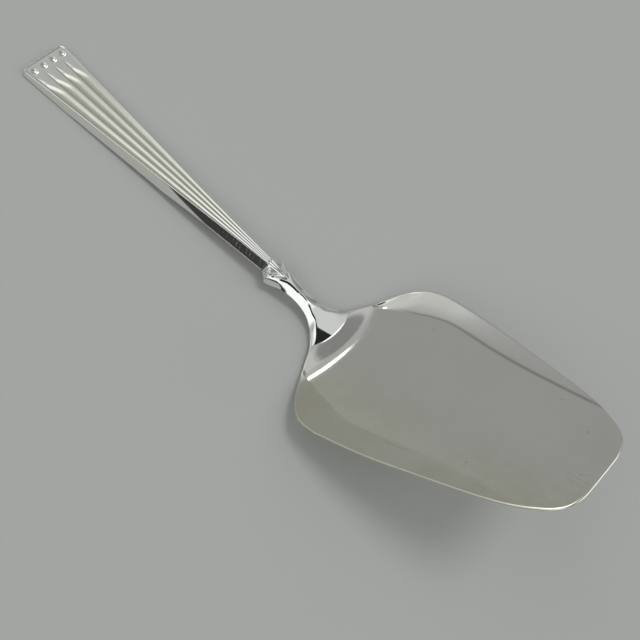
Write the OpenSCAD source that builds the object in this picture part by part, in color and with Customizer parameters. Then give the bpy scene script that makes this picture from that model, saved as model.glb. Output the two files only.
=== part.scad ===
// Cake server in silver plate. A pressed blade is soldered under the tongue of a cast stem,
// and the stem's round spigot is brazed into the end of a solid fluted handle.
// Lengths are millimetres. The butt is at minus X, the blade tip at plus X and the table at Z = 0.
// Stations are measured from the butt along X, and a share is a part of the size that it names.

/* [Handle] */
// Length from the butt to the joint with the stem
handle_length = 117.1; // [90:0.1:140]
// Width of the fluted panel where its straight sides would meet the butt
panel_butt_width = 19.2; // [14:0.1:26]
// Width of the fluted panel at the joint
panel_joint_width = 2.2; // [1.6:0.1:4]
// Height of the fluted panel above the table at the butt
panel_butt_height = 2.1; // [1.7:0.1:4]
// Height of the fluted panel above the table at the joint
panel_joint_height = 8.55; // [7.5:0.05:11]
// Length of the underside that lies flat on the table
rest_length = 21; // [8:1:40]
// Height of the underside above the table at the joint
underside_joint_height = 2.85; // [1.8:0.05:3.6]
// Radius of the butt's corners seen from above
butt_corner_radius = 2.6; // [0.6:0.1:3]

/* [Flutes] */
// Number of scooped flutes side by side
flute_count = 4; // [2:1:6]
// Distance from the butt to the rounded ends of the flutes
flute_margin = 2.8; // [1.5:0.1:6]
// Length of a flute's rounded end
scoop_length = 3; // [1.5:0.1:6]
// Depth of a flute near the butt
flute_depth = 0.55; // [0.2:0.05:0.9]
// Width of the raised rim beside the outer flutes
rim_width = 0.6; // [0.3:0.1:1.2]

/* [Stem] */
// Length from the joint to the middle of the tongue's edge
stem_length = 33.45; // [28:0.05:44]
// Width over the tips of the calyx wings
calyx_width = 11.4; // [9:0.1:15]
// Width of the neck at its waist
waist_width = 5.6; // [4.6:0.1:8]
// Height of the neck's crest at its waist
crest_height = 6.9; // [6:0.1:8]
// Height of the calyx wing tips above the table
wing_height = 5.8; // [4.6:0.1:6.6]

/* [Tongue] */
// Width over the tongue's corners
tongue_width = 19; // [14:0.1:24]
// Height of the middle of the tongue's edge
tongue_height = 3.75; // [3.7:0.05:5]
// Drop of the tongue's edge from its middle to its corners
tongue_dome = 1.1; // [0.6:0.05:1.1]
// Distance that the tongue's edge curves back at its corners
tongue_bow = 2.2; // [1:0.1:5]
// Length of blade that the tongue laps
lap_length = 8.05; // [5:0.05:12]

/* [Blade] */
// Length from the rear edge to the tip
blade_length = 97.2; // [75:0.1:130]
// Greatest width
blade_width = 70.4; // [50:0.1:90]
// Thickness of the sheet
blade_thickness = 0.8; // [0.6:0.05:1.2]
// Slope of the flat above the table in degrees
blade_slope = 33.1; // [20:0.1:45]
// Length of the level shoulder behind the fold
shoulder_length = 14; // [10:0.1:20]
// Height of the shoulder's crest above the table
shoulder_height = 3.95; // [3.4:0.05:4]
// Height that the side edges are turned up
side_rise = 1.8; // [0.5:0.1:4]
// Sag of the flat between the fold and the tip
flat_sag = 0.7; // [0:0.1:2]

/* [Joint] */
// Diameter of the stem's spigot
spigot_diameter = 2.4; // [1.8:0.1:2.8]
// Length of the spigot
spigot_length = 10; // [6:0.5:14]
// Thickness of the braze round the spigot and on the joint's face
braze_gap = 0.1; // [0.05:0.01:0.2]
// Thickness of the solder between the tongue and the blade
solder_gap = 0.12; // [0.05:0.01:0.3]

/* [Hidden] */

metal = [0.75, 0.76, 0.74];
solder_metal = [0.62, 0.62, 0.6];
round_sides = 48;

joint_station = handle_length;
stem_start = joint_station + braze_gap;
tongue_station = joint_station + stem_length;
blade_start = tongue_station - lap_length;
server_length = blade_start + blade_length + blade_thickness * sin(blade_slope);

// Handle details
edge_radius = 0.6;
end_edge_radius = 0.5;
wall_slant_share = 0.33;
edge_flat = 0.1;
wall_parts = [1, 0.7, 0];
columns_per_flute = 6;
flute_steps = flute_count * columns_per_flute;
butt_step = 0.5;
handle_step = 8;

// Stem details, as shares of the stem's length from the joint
calyx_share = 0.104;
waist_share = 0.5;
tongue_root_share = 0.62;
tongue_full_share = 0.8;
calyx_width_shares = [
    [0, 0.58], [0.026, 0.62], [0.039, 0.7], [0.052, 0.69], [0.068, 0.82], [0.079, 0.81], [0.104, 1]
];
waist_power = 1.9;
flare_power = 2;
// Crest, side and underside heights along the stem, as shares between two named heights
crest_rise_shares = [[0, 1], [0.15, 0.98], [0.3, 0.55], [0.45, 0]];
crest_fall_shares = [
    [0.477, 0], [0.552, 0.09], [0.627, 0.36], [0.702, 0.6], [0.738, 0.665], [0.807, 0.75], [0.93, 0.91],
    [1, 1]
];
side_fall_shares = [
    [0.104, 0], [0.135, 0.29], [0.18, 0.46], [0.26, 0.46], [0.34, 0.35], [0.45, 0.29], [0.56, 0.46],
    [0.66, 0.57], [0.75, 0.73], [0.85, 0.89], [0.93, 0.97], [1, 1]
];
underside_shares = [[0, 1], [0.35, 0.78], [0.7, 0.35], [1, 0]];
stem_rows = 40;
stem_columns = 14;
solder_rows = 6;
section_edge_share = 0.15;

// Blade outline as shares of the blade's length and of half its width, from the rear edge to the tip
outline_shares = [
    [0, 0], [0, 0.07], [0, 0.13], [0.0206, 0.187], [0.0423, 0.248], [0.065, 0.334], [0.0877, 0.461],
    [0.1125, 0.583], [0.138, 0.724], [0.162, 0.829], [0.186, 0.905], [0.2085, 0.956], [0.232, 0.984],
    [0.279, 1], [0.323, 0.988], [0.41, 0.953], [0.492, 0.911], [0.647, 0.806], [0.789, 0.702],
    [0.872, 0.622], [0.933, 0.528], [0.966, 0.455], [0.986, 0.375], [0.998, 0.25], [1, 0.12], [1, 0]
];
// Crest of the shoulder as shares of its length and height, and the height at which the flat starts
crest_shares = [[0, 0.19], [0.3, 0.53], [0.46, 0.68], [0.63, 0.76], [0.8, 0.8], [1, 0.85], [1.3, 0.9]];
fold_share = 0.7;
// Half width at the fold of the turned up sides, and their rise, along the blade's length
side_fold_shares = [
    [0.08, 0.47], [0.11, 0.5], [0.14, 0.555], [0.18, 0.6], [0.234, 0.64], [0.29, 0.69], [0.355, 0.715],
    [0.42, 0.695], [0.52, 0.647], [0.63, 0.611], [0.75, 0.59], [0.9, 0.572], [1, 0.56]
];
side_rise_shares = [
    [0.08, 0.65], [0.15, 1], [0.27, 0.95], [0.45, 0.6], [0.6, 0.39], [0.76, 0.19], [0.89, 0], [1, 0]
];
side_straight_share = 0.6;
droop_reach_share = 0.46;
shoulder_droop = 1;
fold_blend = 1.6;
outline_steps = 1;
blade_columns = 24;
normal_step = 0.05;
overrun = 0.5;

// Plain functions
function clamp(v) = min(max(v, 0), 1);
function mix(a, b, t) = a + (b - a) * t;
function smooth(t) = let (c = clamp(t)) c * c * (3 - 2 * c);
function smooth_max(a, b, k) = let (h = clamp((1 + (a - b) / k) / 2)) mix(b, a, h) + k * h * (1 - h);
function reversed(list) = [for (k = [len(list) - 1:-1:0]) list[k]];
function round_off(s, r) = s >= r ? 0 : r - sqrt(r * r - (r - s) * (r - s));

// A smooth curve through a table's points, read at x
function knot(t, x, i = 0) = i >= len(t) - 2 || x < t[i + 1][0] ? i : knot(t, x, i + 1);
function tangent(t, i) =
    let (a = t[max(i - 1, 0)], b = t[min(i + 1, len(t) - 1)])
    (b[1] - a[1]) / (b[0] - a[0]);
function curve(t, x) =
    let (
        i = knot(t, x),
        h = t[i + 1][0] - t[i][0],
        u = clamp((x - t[i][0]) / h),
        ease = u * u * (3 - 2 * u)
    )
    mix(t[i][1], t[i + 1][1], ease)
        + h * u * (1 - u) * ((1 - u) * tangent(t, i) - u * tangent(t, i + 1));

// The outline's points, with a smooth run between each pair of them
function outline_point(k) = outline_shares[min(max(k, 0), len(outline_shares) - 1)];
function between(a, b, c, d, t) =
    ((3 * b - a - 3 * c + d) * t * t * t + (2 * a - 5 * b + 4 * c - d) * t * t + (c - a) * t + 2 * b) / 2;
function outline_run(k) = [
    for (j = [0:outline_steps - 1])
        between(
            outline_point(k - 1),
            outline_point(k),
            outline_point(k + 1),
            outline_point(k + 2),
            j / outline_steps
        )
];
blade_outline = [
    for (k = [2:len(outline_shares) - 3]) each outline_run(k),
    outline_point(len(outline_shares) - 2)
];

// Handle surfaces by station
function panel_half(s) =
    mix(panel_butt_width, panel_joint_width, s / handle_length) / 2 - round_off(s, butt_corner_radius);
function panel_top(s) =
    mix(panel_butt_height, panel_joint_height, s / handle_length) - round_off(s, end_edge_radius);
function underside(s) = underside_joint_height * (s - rest_length) / (handle_length - rest_length);
function foot_half(s) = panel_half(s) + wall_slant_share * (panel_top(s) - underside(s));
function band_half(s) = panel_half(s) * (1 - rim_width * 2 / panel_butt_width);
function scoop_fall(s) = max((flute_margin + scoop_length - s) / scoop_length, 0);
function flute_cut(s, across) =
    let (
        place = across * flute_count,
        side = 2 * (place - floor(place)) - 1,
        room = 1 - side * side - scoop_fall(s) * scoop_fall(s)
    )
    flute_depth * panel_half(s) * 2 / panel_butt_width * max(room, 0);

// Rows of handle points at station s, over the top and along the underside
function wall_place(s, part) = mix(panel_half(s), foot_half(s), part);
function wall_level(s, part) = mix(panel_top(s), foot_level(s) + edge_flat, part);
function foot_level(s) = underside(s) + min(edge_radius, (panel_top(s) - underside(s)) / 2);
function foot_curve(s, part) = mix(underside(s), foot_level(s), 1 - sqrt(1 - part * part));
function handle_upper(s) = [
    for (part = wall_parts) [s, -wall_place(s, part), wall_level(s, part)],
    for (k = [0:flute_steps])
        [s, band_half(s) * (2 * k / flute_steps - 1), panel_top(s) - flute_cut(s, k / flute_steps)],
    for (part = reversed(wall_parts)) [s, wall_place(s, part), wall_level(s, part)]
];
function handle_lower(s) = [
    for (part = wall_parts) [s, -wall_place(s, part), foot_curve(s, part)],
    for (k = [0:flute_steps]) [s, band_half(s) * (2 * k / flute_steps - 1), underside(s)],
    for (part = reversed(wall_parts)) [s, wall_place(s, part), foot_curve(s, part)]
];

// Blade surfaces by station and side distance
function shoulder_part(s) = (s - blade_start) / shoulder_length;
fold_height = shoulder_height * fold_share;
function shoulder_at(s, y) =
    shoulder_height * curve(crest_shares, shoulder_part(s))
        - shoulder_droop * pow(2 * y / (blade_width * droop_reach_share), 2);
function flat_part(s) = (s - blade_start - shoulder_length) / (blade_length - shoulder_length);
function flat_at(s) =
    fold_height
        + tan(blade_slope) * (s - blade_start - shoulder_length)
        + flat_sag * 4 * flat_part(s) * (flat_part(s) - 1);
rim_shares = [for (k = [2:len(outline_shares) - 2]) outline_shares[k]];
function blade_part(s) = (s - blade_start) / blade_length;
function rim_half(s) = blade_width / 2 * curve(rim_shares, blade_part(s));
function side_lift(s, y) =
    let (
        fold = blade_width / 2 * curve(side_fold_shares, blade_part(s)),
        reach = max(rim_half(s) - fold, side_rise),
        t = max(abs(y) - fold, 0) / reach
    )
    side_rise * curve(side_rise_shares, blade_part(s)) * mix(t * t * (3 - t) / 2, t, side_straight_share);
function blade_at(s, y) = smooth_max(flat_at(s) + side_lift(s, y), shoulder_at(s, y), fold_blend);

// Unit normal of the blade's upper face
function blade_normal(s, y) =
    let (
        dx = (blade_at(s + normal_step, y) - blade_at(s - normal_step, y)) / (2 * normal_step),
        dy = (blade_at(s, y + normal_step) - blade_at(s, y - normal_step)) / (2 * normal_step),
        n = [-dx, -dy, 1]
    )
    n / norm(n);
function blade_row(p, depth) =
    let (s = blade_start + blade_length * p[0], half = blade_width / 2 * p[1])
    [
        for (k = [0:blade_columns])
            let (y = half * (2 * k / blade_columns - 1))
                [s, y, blade_at(s, y)] - depth * blade_normal(s, y)
    ];

// Stem surfaces by share of the stem's length
function stem_station(p) = mix(stem_start, tongue_station, p);
function stem_half(p) =
    p < calyx_share ? calyx_width / 2 * curve(calyx_width_shares, p)
    : p < waist_share
        ? mix(waist_width, calyx_width, pow((waist_share - p) / (waist_share - calyx_share), waist_power)) / 2
        : mix(waist_width, tongue_width, pow((p - waist_share) / (1 - waist_share), flare_power)) / 2;
function stem_top(p) =
    p < crest_fall_shares[0][0]
        ? mix(crest_height, panel_joint_height, curve(crest_rise_shares, p))
        : mix(crest_height, tongue_height, curve(crest_fall_shares, p));
seat_height = shoulder_height * crest_shares[0][1] + solder_gap;
function stem_low(p) =
    mix(seat_height, underside_joint_height, curve(underside_shares, p / lap_part));
function side_level(p) =
    p < calyx_share
        ? mix(underside_joint_height + edge_radius, wing_height, smooth(p / calyx_share))
        : mix(wing_height, tongue_height - tongue_dome, curve(side_fall_shares, p));
function bow(p) = tongue_bow * smooth((p - tongue_root_share) / (1 - tongue_root_share));
function upper_shape(p, c) =
    let (flat_end = panel_joint_width / 2 / stem_half(0))
    mix(clamp((1 - abs(c)) / (1 - flat_end)), sqrt(max(1 - c * c, 0)), smooth(p / calyx_share));
function lower_shape(p, c) =
    mix(sqrt(clamp((1 - abs(c)) / section_edge_share)), sqrt(max(1 - c * c, 0)), smooth(p / calyx_share));
function tongue_weight(p) = smooth((p - tongue_root_share) / (tongue_full_share - tongue_root_share));
function stem_upper(p, c) =
    let (
        neck = mix(side_level(p), stem_top(p), upper_shape(p, c)),
        tongue = stem_top(p) - tongue_dome * c * c
    )
    mix(neck, tongue, tongue_weight(p));
function stem_lower(p, c) = mix(side_level(p), stem_low(p), lower_shape(p, c));
function stem_place(p, c) = [stem_station(p) - bow(p) * c * c, stem_half(p) * c];
function seat(p, c) =
    let (place = stem_place(p, c))
    blade_at(max(place[0], blade_start), place[1]) + solder_gap;

// Rows of stem points, over the top and along the underside
function column(k) = sin(180 * (k / stem_columns - 1 / 2));
lap_part = (stem_length - lap_length) / stem_length;
function stem_row_upper(p) = [
    for (k = [0:stem_columns])
        let (c = column(k), place = stem_place(p, c))
            [place[0], place[1], stem_upper(p, c)]
];
function stem_row_lower(p) = [
    for (k = [0:stem_columns])
        let (
            c = column(k),
            place = stem_place(p, c),
            low = p < lap_part ? stem_lower(p, c) : seat(p, c)
        )
            [place[0], place[1], min(low, stem_upper(p, c) - edge_flat)]
];
function stem_row_seat(p, lift) = [
    for (k = [1:stem_columns - 1])
        let (c = column(k), place = stem_place(p, c))
            [place[0], place[1], seat(p, c) + lift]
];

// A closed skin over an upper and a lower grid of points with the same rows and columns
module skin(upper, lower) {
    columns = len(upper[0]);
    rows = len(upper);
    function u(r, k) = r * columns + k;
    function l(r, k) = rows * columns + u(r, k);
    function quad(a, b, c, d) = [[a, b, c], [a, c, d]];
    faces = [
        for (r = [0:rows - 2], k = [0:columns - 2])
            each concat(
                quad(u(r, k), u(r, k + 1), u(r + 1, k + 1), u(r + 1, k)),
                quad(l(r, k), l(r + 1, k), l(r + 1, k + 1), l(r, k + 1))
            ),
        for (r = [0:rows - 2])
            each concat(
                quad(l(r, 0), u(r, 0), u(r + 1, 0), l(r + 1, 0)),
                quad(u(r, columns - 1), l(r, columns - 1), l(r + 1, columns - 1), u(r + 1, columns - 1))
            ),
        for (k = [0:columns - 2])
            each concat(
                quad(l(0, k + 1), u(0, k + 1), u(0, k), l(0, k)),
                quad(l(rows - 1, k), u(rows - 1, k), u(rows - 1, k + 1), l(rows - 1, k + 1))
            )
    ];
    points = concat([for (row = upper) each row], [for (row = lower) each row]);
    polyhedron(points = points, faces = faces, convexity = 6);
}

// Everything below the table, which grinds the resting faces flat
module below_table() {
    translate([-overrun, -blade_width / 2, -blade_width / 2])
        cube([server_length + overrun, blade_width, blade_width / 2]);
}

module in_frame() {
    translate([-server_length / 2, 0, 0]) children();
}

module along_spigot(start, length, diameter) {
    translate([start, 0, (panel_joint_height + underside_joint_height) / 2 - edge_radius / 2])
        rotate([0, 90, 0])
            cylinder(h = length, d = diameter, $fn = round_sides);
}

module handle() {
    butt_rings = [for (s = [0:butt_step:flute_margin + 2 * scoop_length]) s];
    run_start = flute_margin + 2 * scoop_length + handle_step / 2;
    run_rings = [for (s = [run_start:handle_step:joint_station - handle_step / 2]) s];
    stations = concat(butt_rings, run_rings, [joint_station]);
    color(metal)
        in_frame()
            difference() {
                skin([for (s = stations) handle_upper(s)], [for (s = stations) handle_lower(s)]);
                below_table();
                along_spigot(
                    joint_station - spigot_length - braze_gap,
                    spigot_length + braze_gap + overrun,
                    spigot_diameter + 2 * braze_gap
                );
            }
}

module stem() {
    parts = [for (k = [0:stem_rows]) k / stem_rows];
    color(metal)
        in_frame() {
            skin([for (p = parts) stem_row_upper(p)], [for (p = parts) stem_row_lower(p)]);
            along_spigot(
                joint_station - spigot_length,
                spigot_length + braze_gap + overrun,
                spigot_diameter
            );
        }
}

module blade() {
    color(metal)
        in_frame()
            difference() {
                skin(
                    [for (p = blade_outline) blade_row(p, 0)],
                    [for (p = blade_outline) blade_row(p, blade_thickness)]
                );
                below_table();
            }
}

module tongue_solder() {
    parts = [for (j = [0:solder_rows]) mix(lap_part + solder_gap / stem_length, 1, j / solder_rows)];
    color(solder_metal)
        in_frame()
            skin([for (p = parts) stem_row_seat(p, 0)], [for (p = parts) stem_row_seat(p, -solder_gap)]);
}

module spigot_solder() {
    face = handle_upper(joint_station);
    back = handle_lower(joint_station);
    across = [for (q = face) q + [braze_gap, 0, 0]];
    color(solder_metal)
        in_frame()
            difference() {
                union() {
                    skin([face, across], [back, [for (q = back) q + [braze_gap, 0, 0]]]);
                    along_spigot(
                        joint_station - spigot_length - braze_gap,
                        spigot_length + 2 * braze_gap,
                        spigot_diameter + 2 * braze_gap
                    );
                }
                along_spigot(
                    joint_station - spigot_length,
                    spigot_length + overrun,
                    spigot_diameter
                );
            }
}

handle();
stem();
blade();
tongue_solder();
spigot_solder();
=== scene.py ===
"""Looks for a cake server in polished silver plate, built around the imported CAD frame.

Lengths in this script are millimetres until mesh_object turns them into metres. A station is a
distance from the butt along X, as in the solids, and a share is a part of the size that it names.
"""
import math

import bmesh
import bpy
import numpy as np
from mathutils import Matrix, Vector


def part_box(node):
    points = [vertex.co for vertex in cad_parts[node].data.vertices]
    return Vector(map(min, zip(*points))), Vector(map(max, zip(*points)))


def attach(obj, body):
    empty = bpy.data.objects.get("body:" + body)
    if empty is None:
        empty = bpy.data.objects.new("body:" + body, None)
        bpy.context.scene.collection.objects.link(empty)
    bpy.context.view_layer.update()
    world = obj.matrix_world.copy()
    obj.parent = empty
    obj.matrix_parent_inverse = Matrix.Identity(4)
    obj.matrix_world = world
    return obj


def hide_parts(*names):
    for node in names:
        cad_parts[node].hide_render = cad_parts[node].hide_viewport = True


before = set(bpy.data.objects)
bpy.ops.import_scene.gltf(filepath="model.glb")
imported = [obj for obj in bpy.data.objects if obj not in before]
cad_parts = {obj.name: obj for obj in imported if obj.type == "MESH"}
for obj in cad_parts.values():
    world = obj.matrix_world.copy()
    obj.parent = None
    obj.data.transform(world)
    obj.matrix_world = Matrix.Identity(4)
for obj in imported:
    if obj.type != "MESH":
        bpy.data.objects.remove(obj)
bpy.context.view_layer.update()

MM = 0.001
WELD_DISTANCE = 1e-7


def node_box(name):
    """A CAD node's lowest and highest corners in millimetres."""
    low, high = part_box(name)
    return np.array(low) / MM, np.array(high) / MM


handle_low, handle_high = node_box("handle")
blade_low = node_box("blade")[0]

# Main sizes, from the frame where it gives them
BUTT_X = handle_low[0]
HANDLE_LENGTH = handle_high[0] - handle_low[0]
STEM_LENGTH = 33.45
STEM_END = HANDLE_LENGTH + STEM_LENGTH
BRAZE_GAP = 0.1
SOLDER_GAP = 0.12
BLADE_START = blade_low[0] - BUTT_X
BLADE_WIDTH = 70.4
BLADE_LENGTH = 97.2

# Handle: the fluted panel on top and the flat underside
PANEL_BUTT_HALF = 9.6
PANEL_JOINT_HALF = 1.1
PANEL_TAPER = PANEL_JOINT_HALF / PANEL_BUTT_HALF
PANEL_BUTT_HEIGHT = 2.1
PANEL_JOINT_HEIGHT = handle_high[2]
PANEL_EDGE_RADIUS = 0.12
PANEL_EDGE_DROP = 0.8 * PANEL_EDGE_RADIUS
UNDERSIDE_JOINT_HEIGHT = 2.85
REST_LENGTH = 21.0
BUTT_CORNER_RADIUS = 2.6
END_EDGE_RADIUS = 0.5
END_BEVEL = 0.8
END_BEVEL_SLOPE = 0.16

# Handle: the side walls, whose slopes are widths over heights
WALL_SLOPE = 0.4
WALL_FRONT_SLOPE = 0.7
WALL_TURN_START = 62.0
WALL_TURN_LENGTH = 14.0
WALL_TURN_SLANT = 20.0
WALL_FOOT_SHARE = 0.37
LOWER_EDGE_RADIUS = 0.6
RIPPLE_START = 88.0
RIPPLE_RISE_LENGTH = 18.0
RIPPLE_END_LENGTH = 2.0
RIPPLE_LENGTH = 2.1
RIPPLE_LEAN = 2.4
RIPPLE_SLOPE = 0.09
CROSS_RIPPLE_TURN = 4.1
CROSS_RIPPLE_LEAN = 7.0

# Handle: the flutes, where a part is a share of one flute's width
FLUTE_COUNT = 4
FLUTE_DEPTH = 0.62
FLUTE_FRONT_DEEPER = 1.5
FLUTE_DEEPER_START = 70.0
FLUTE_DEEPER_LENGTH = 40.0
FLUTE_NEAR_PART = 0.17
FLUTE_BANK_PART = 0.22
FLUTE_BANK_PLACES = [
    (0, -0.3), (4.5, -0.22), (8, 0.05), (10, 0.16), (11.5, 0.2),
    (14, 0.42), (17, 0.62), (20, 0.66), (120, 0.66),
]
DIMPLE_PLACE = 3.5
DIMPLE_REAR = 1.1
DIMPLE_FRONT = 1.5
DIMPLE_HALF_PART = 0.3
DIMPLE_DEPTH = 0.2
RIM_WIDTH = 0.55
RIM_HEIGHT = 0.22
RIM_FOOT = 0.2
RIM_SIDE = 0.25
RIM_FADE_START = 30.0
RIM_FADE_LENGTH = 70.0
HOLLOW_TARNISH = 0.75
HOLLOW_JOINT_TARNISH = 0.1
HOLLOW_FADE_START = 70.0
HOLLOW_FADE_LENGTH = 40.0

# Handle: the grid of its surface, closest where the form changes most
END_STATIONS = [0, 0.06, 0.14, 0.24, 0.36]
BUTT_DETAIL_END = 20.0
BUTT_STEP = 0.25
PLAIN_STEP = 1.5
WALL_STEP = 0.3
WALL_END_GAP = 0.2
WALL_ROWS = 18
RIM_COLUMNS = np.array([0, 0.25, 0.5, 0.75, 0.9, 1.0])
FLUTE_COLUMNS = 30
EDGE_TURNS = 8
UNDERSIDE_COLUMNS = 9
# A last ring this close to an end keeps the end's edge sharp in smooth shading
SHARP_END = 0.03
SHARP_END_PART = 0.001

# Stem: the calyx beside the joint, the neck, and the tongue that lies on the blade
STEM_START = HANDLE_LENGTH + BRAZE_GAP
CALYX_HALF = 5.7
CALYX_SHARE = 0.104
CALYX_WIDTH_SHARES = [
    (0, 0.58), (0.026, 0.62), (0.039, 0.7), (0.052, 0.69), (0.068, 0.82), (0.079, 0.81), (0.104, 1),
]
WAIST_HALF = 2.8
WAIST_SHARE = 0.5
WAIST_POWER = 1.9
FLARE_POWER = 2.0
CREST_HEIGHT = 6.9
CREST_RISE_SHARES = [(0, 1), (0.15, 0.98), (0.3, 0.55), (0.45, 0)]
CREST_FALL_SHARES = [
    (0.477, 0), (0.552, 0.09), (0.627, 0.36), (0.702, 0.6), (0.738, 0.665), (0.807, 0.75),
    (0.93, 0.91), (1, 1),
]
WING_LEVEL = 6.0
SEAM_LEVEL_SHARE = 0.47
SIDE_FALL_SHARES = [
    (0.104, 0), (0.15, 0.24), (0.22, 0.3), (0.3, 0.16), (0.4, 0.14), (0.5, 0.28), (0.58, 0.4),
    (0.66, 0.58), (0.75, 0.79), (0.85, 0.9), (0.93, 0.97), (1, 1),
]
ROOF_POWERS = [
    (0.104, 5), (0.16, 6), (0.22, 5), (0.3, 2.4), (0.38, 1.5), (0.5, 1.35), (0.6, 1.3),
    (0.7, 1.12), (1, 1.1),
]
UNDERSIDE_SHARES = [(0, 1), (0.35, 0.78), (0.7, 0.35), (1, 0)]
BELLY_SHARES = [(0.104, 0.05), (0.25, 0.2), (0.5, 0.4)]
JOINT_BELLY_SHARE = 0.6
STEM_THIN = 0.12
TONGUE_HALF = 9.5
TONGUE_HEIGHT = 3.75
TONGUE_DOME = 1.1
TONGUE_BOW = 2.2
TONGUE_ROOT_SHARE = 0.62
TONGUE_LIP = 0.35
# Half width of the tongue's flat top as shares of the stem's half width
TONGUE_FLAT_SHARES = [
    (0.104, 0), (0.58, 0), (0.69, 0.4), (0.765, 0.51), (0.85, 0.72), (0.94, 0.83), (1, 0.95),
]
LAP_LENGTH = 8.05
LAP_PART = (STEM_LENGTH - LAP_LENGTH) / STEM_LENGTH
LAP_BLEND_PART = 0.02
CREASE_ROUND = 0.12
CORNER_SLOPE = 0.13
CORNER_START = 2.7
CORNER_TURN = 0.5
CORNER_LEAST = 0.3
CORNER_ROUND = 2.0
POINT_LENGTH = 8.9
POINT_START_LENGTH = 0.8
POINT_END_LENGTH = 3.0
POINT_END_OVERLAP = 2.0
POINT_STEP = 0.24
POINT_STEP_WIDTH = 0.35
POINT_POWER = 0.7
POINT_LEAST_HALF = 0.1
LEAF_STARTS = (1.7, 2.75)
LEAF_RUN = 5.0
LEAF_STEP = 0.32
LEAF_STEP_WIDTH = 0.3
LEAF_POWER = 0.75
LEAF_FADE_SHARE = 0.3
CALYX_ROWS_END = 0.3
CALYX_ROWS = 110
NECK_ROWS = 130
STEM_COLUMNS = 110

# Blade: the shoulder under the tongue, the fold, and the sloping flat with turned up sides
BLADE_HALF = BLADE_WIDTH / 2
SHEET = 0.8
BLADE_SLOPE = 33.1
FLAT_SAG = 0.7
SHOULDER_LENGTH = 14.0
SHOULDER_HEIGHT = 3.95
SHOULDER_DROOP = 1.0
DROOP_REACH_SHARE = 0.46
CREST_SHARES = [
    (0, 0.19), (0.3, 0.53), (0.46, 0.68), (0.63, 0.76), (0.8, 0.8), (1, 0.85), (1.3, 0.9),
]
FOLD_HEIGHT = 0.7 * SHOULDER_HEIGHT
FOLD_BLEND = 1.6
OUTLINE_SHARES = [
    (0, 0), (0, 0.07), (0, 0.13), (0.0206, 0.187), (0.0423, 0.248), (0.065, 0.334), (0.0877, 0.461),
    (0.1125, 0.583), (0.138, 0.724), (0.162, 0.829), (0.186, 0.905), (0.2085, 0.956), (0.232, 0.984),
    (0.279, 1), (0.323, 0.988), (0.41, 0.953), (0.492, 0.911), (0.647, 0.806), (0.789, 0.702),
    (0.872, 0.622), (0.933, 0.528), (0.966, 0.455), (0.986, 0.375), (0.998, 0.25), (1, 0.12), (1, 0),
]
RIM_SHARES = OUTLINE_SHARES[2:-1]
SIDE_RISE = 1.8
SIDE_RISE_SHARES = [
    (0.08, 0.65), (0.15, 1), (0.27, 0.95), (0.45, 0.6), (0.6, 0.39), (0.76, 0.19), (0.89, 0), (1, 0),
]
SIDE_STRAIGHT_SHARE = 0.6
SIDE_FOLD_SHARES = [
    (0.08, 0.47), (0.11, 0.5), (0.14, 0.555), (0.18, 0.6), (0.234, 0.64), (0.29, 0.69), (0.355, 0.715),
    (0.42, 0.695), (0.52, 0.647), (0.63, 0.611), (0.75, 0.59), (0.9, 0.572), (1, 0.56),
]
SPINE_REAR_INSET = 26.0
SPINE_TIP_INSET = 22.0
OUTLINE_STEPS = 40
OUTLINE_POINTS = 240
BLADE_ROWS = 70
BLADE_ROW_POWER = 0.9
SLOPE_STEP = 0.02

# Camera, fitted to the photograph
CAMERA_PLACE = (73.73, -133.81, 299.02)
CAMERA_TURN = (23.592, -10.443, 43.140)
CAMERA_LENS = 53.44
SENSOR_WIDTH = 36.0
CAMERA_NEAREST = 10.0


def mix(a, b, t):
    """The value a share t of the way from a to b."""
    return a + (b - a) * t


def smooth(t):
    """0 to 1 with level ends."""
    t = np.clip(t, 0, 1)
    return t * t * (3 - 2 * t)


def smooth_max(a, b, k):
    """The larger of a and b, rounded where they cross within k."""
    h = np.clip((1 + (a - b) / k) / 2, 0, 1)
    return mix(b, a, h) + k * h * (1 - h)


def round_off(s, radius):
    """How far a corner of that radius draws in at distance s from its end."""
    t = np.clip(radius - s, 0, radius)
    return radius - np.sqrt(radius * radius - t * t)


def rise(x, start, length):
    """0 to 1 over a length from its start, with level ends."""
    return smooth((x - start) / length)


def curve(table, x):
    """A smooth curve through a table's points: between two of them a cubic that keeps their slopes."""
    t = np.array(table, float)
    xs, ys = t[:, 0], t[:, 1]
    slopes = np.empty(len(xs))
    slopes[1:-1] = (ys[2:] - ys[:-2]) / (xs[2:] - xs[:-2])
    slopes[0] = (ys[1] - ys[0]) / (xs[1] - xs[0])
    slopes[-1] = (ys[-1] - ys[-2]) / (xs[-1] - xs[-2])
    x = np.asarray(x, float)
    i = np.clip(np.searchsorted(xs, x, side="right") - 1, 0, len(xs) - 2)
    h = xs[i + 1] - xs[i]
    u = np.clip((x - xs[i]) / h, 0, 1)
    ease = u * u * (3 - 2 * u)
    return mix(ys[i], ys[i + 1], ease) + h * u * (1 - u) * ((1 - u) * slopes[i] - u * slopes[i + 1])


# Meshes

def mesh_object(name, points, quads, triangles=(), material=None):
    """A smooth mesh object from points in millimetres along the frame's stations."""
    points = np.asarray(points, float).reshape(-1, 3) + (BUTT_X, 0, 0)
    mesh = bpy.data.meshes.new(name)
    mesh.from_pydata((points * MM).tolist(), [], np.asarray(quads).tolist() + np.asarray(triangles).tolist())
    mesh.polygons.foreach_set("use_smooth", np.ones(len(mesh.polygons), bool))
    mesh.validate()
    mesh.update()
    piece = bpy.data.objects.new(name, mesh)
    bpy.context.scene.collection.objects.link(piece)
    if material:
        mesh.materials.append(material)
    return piece


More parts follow.
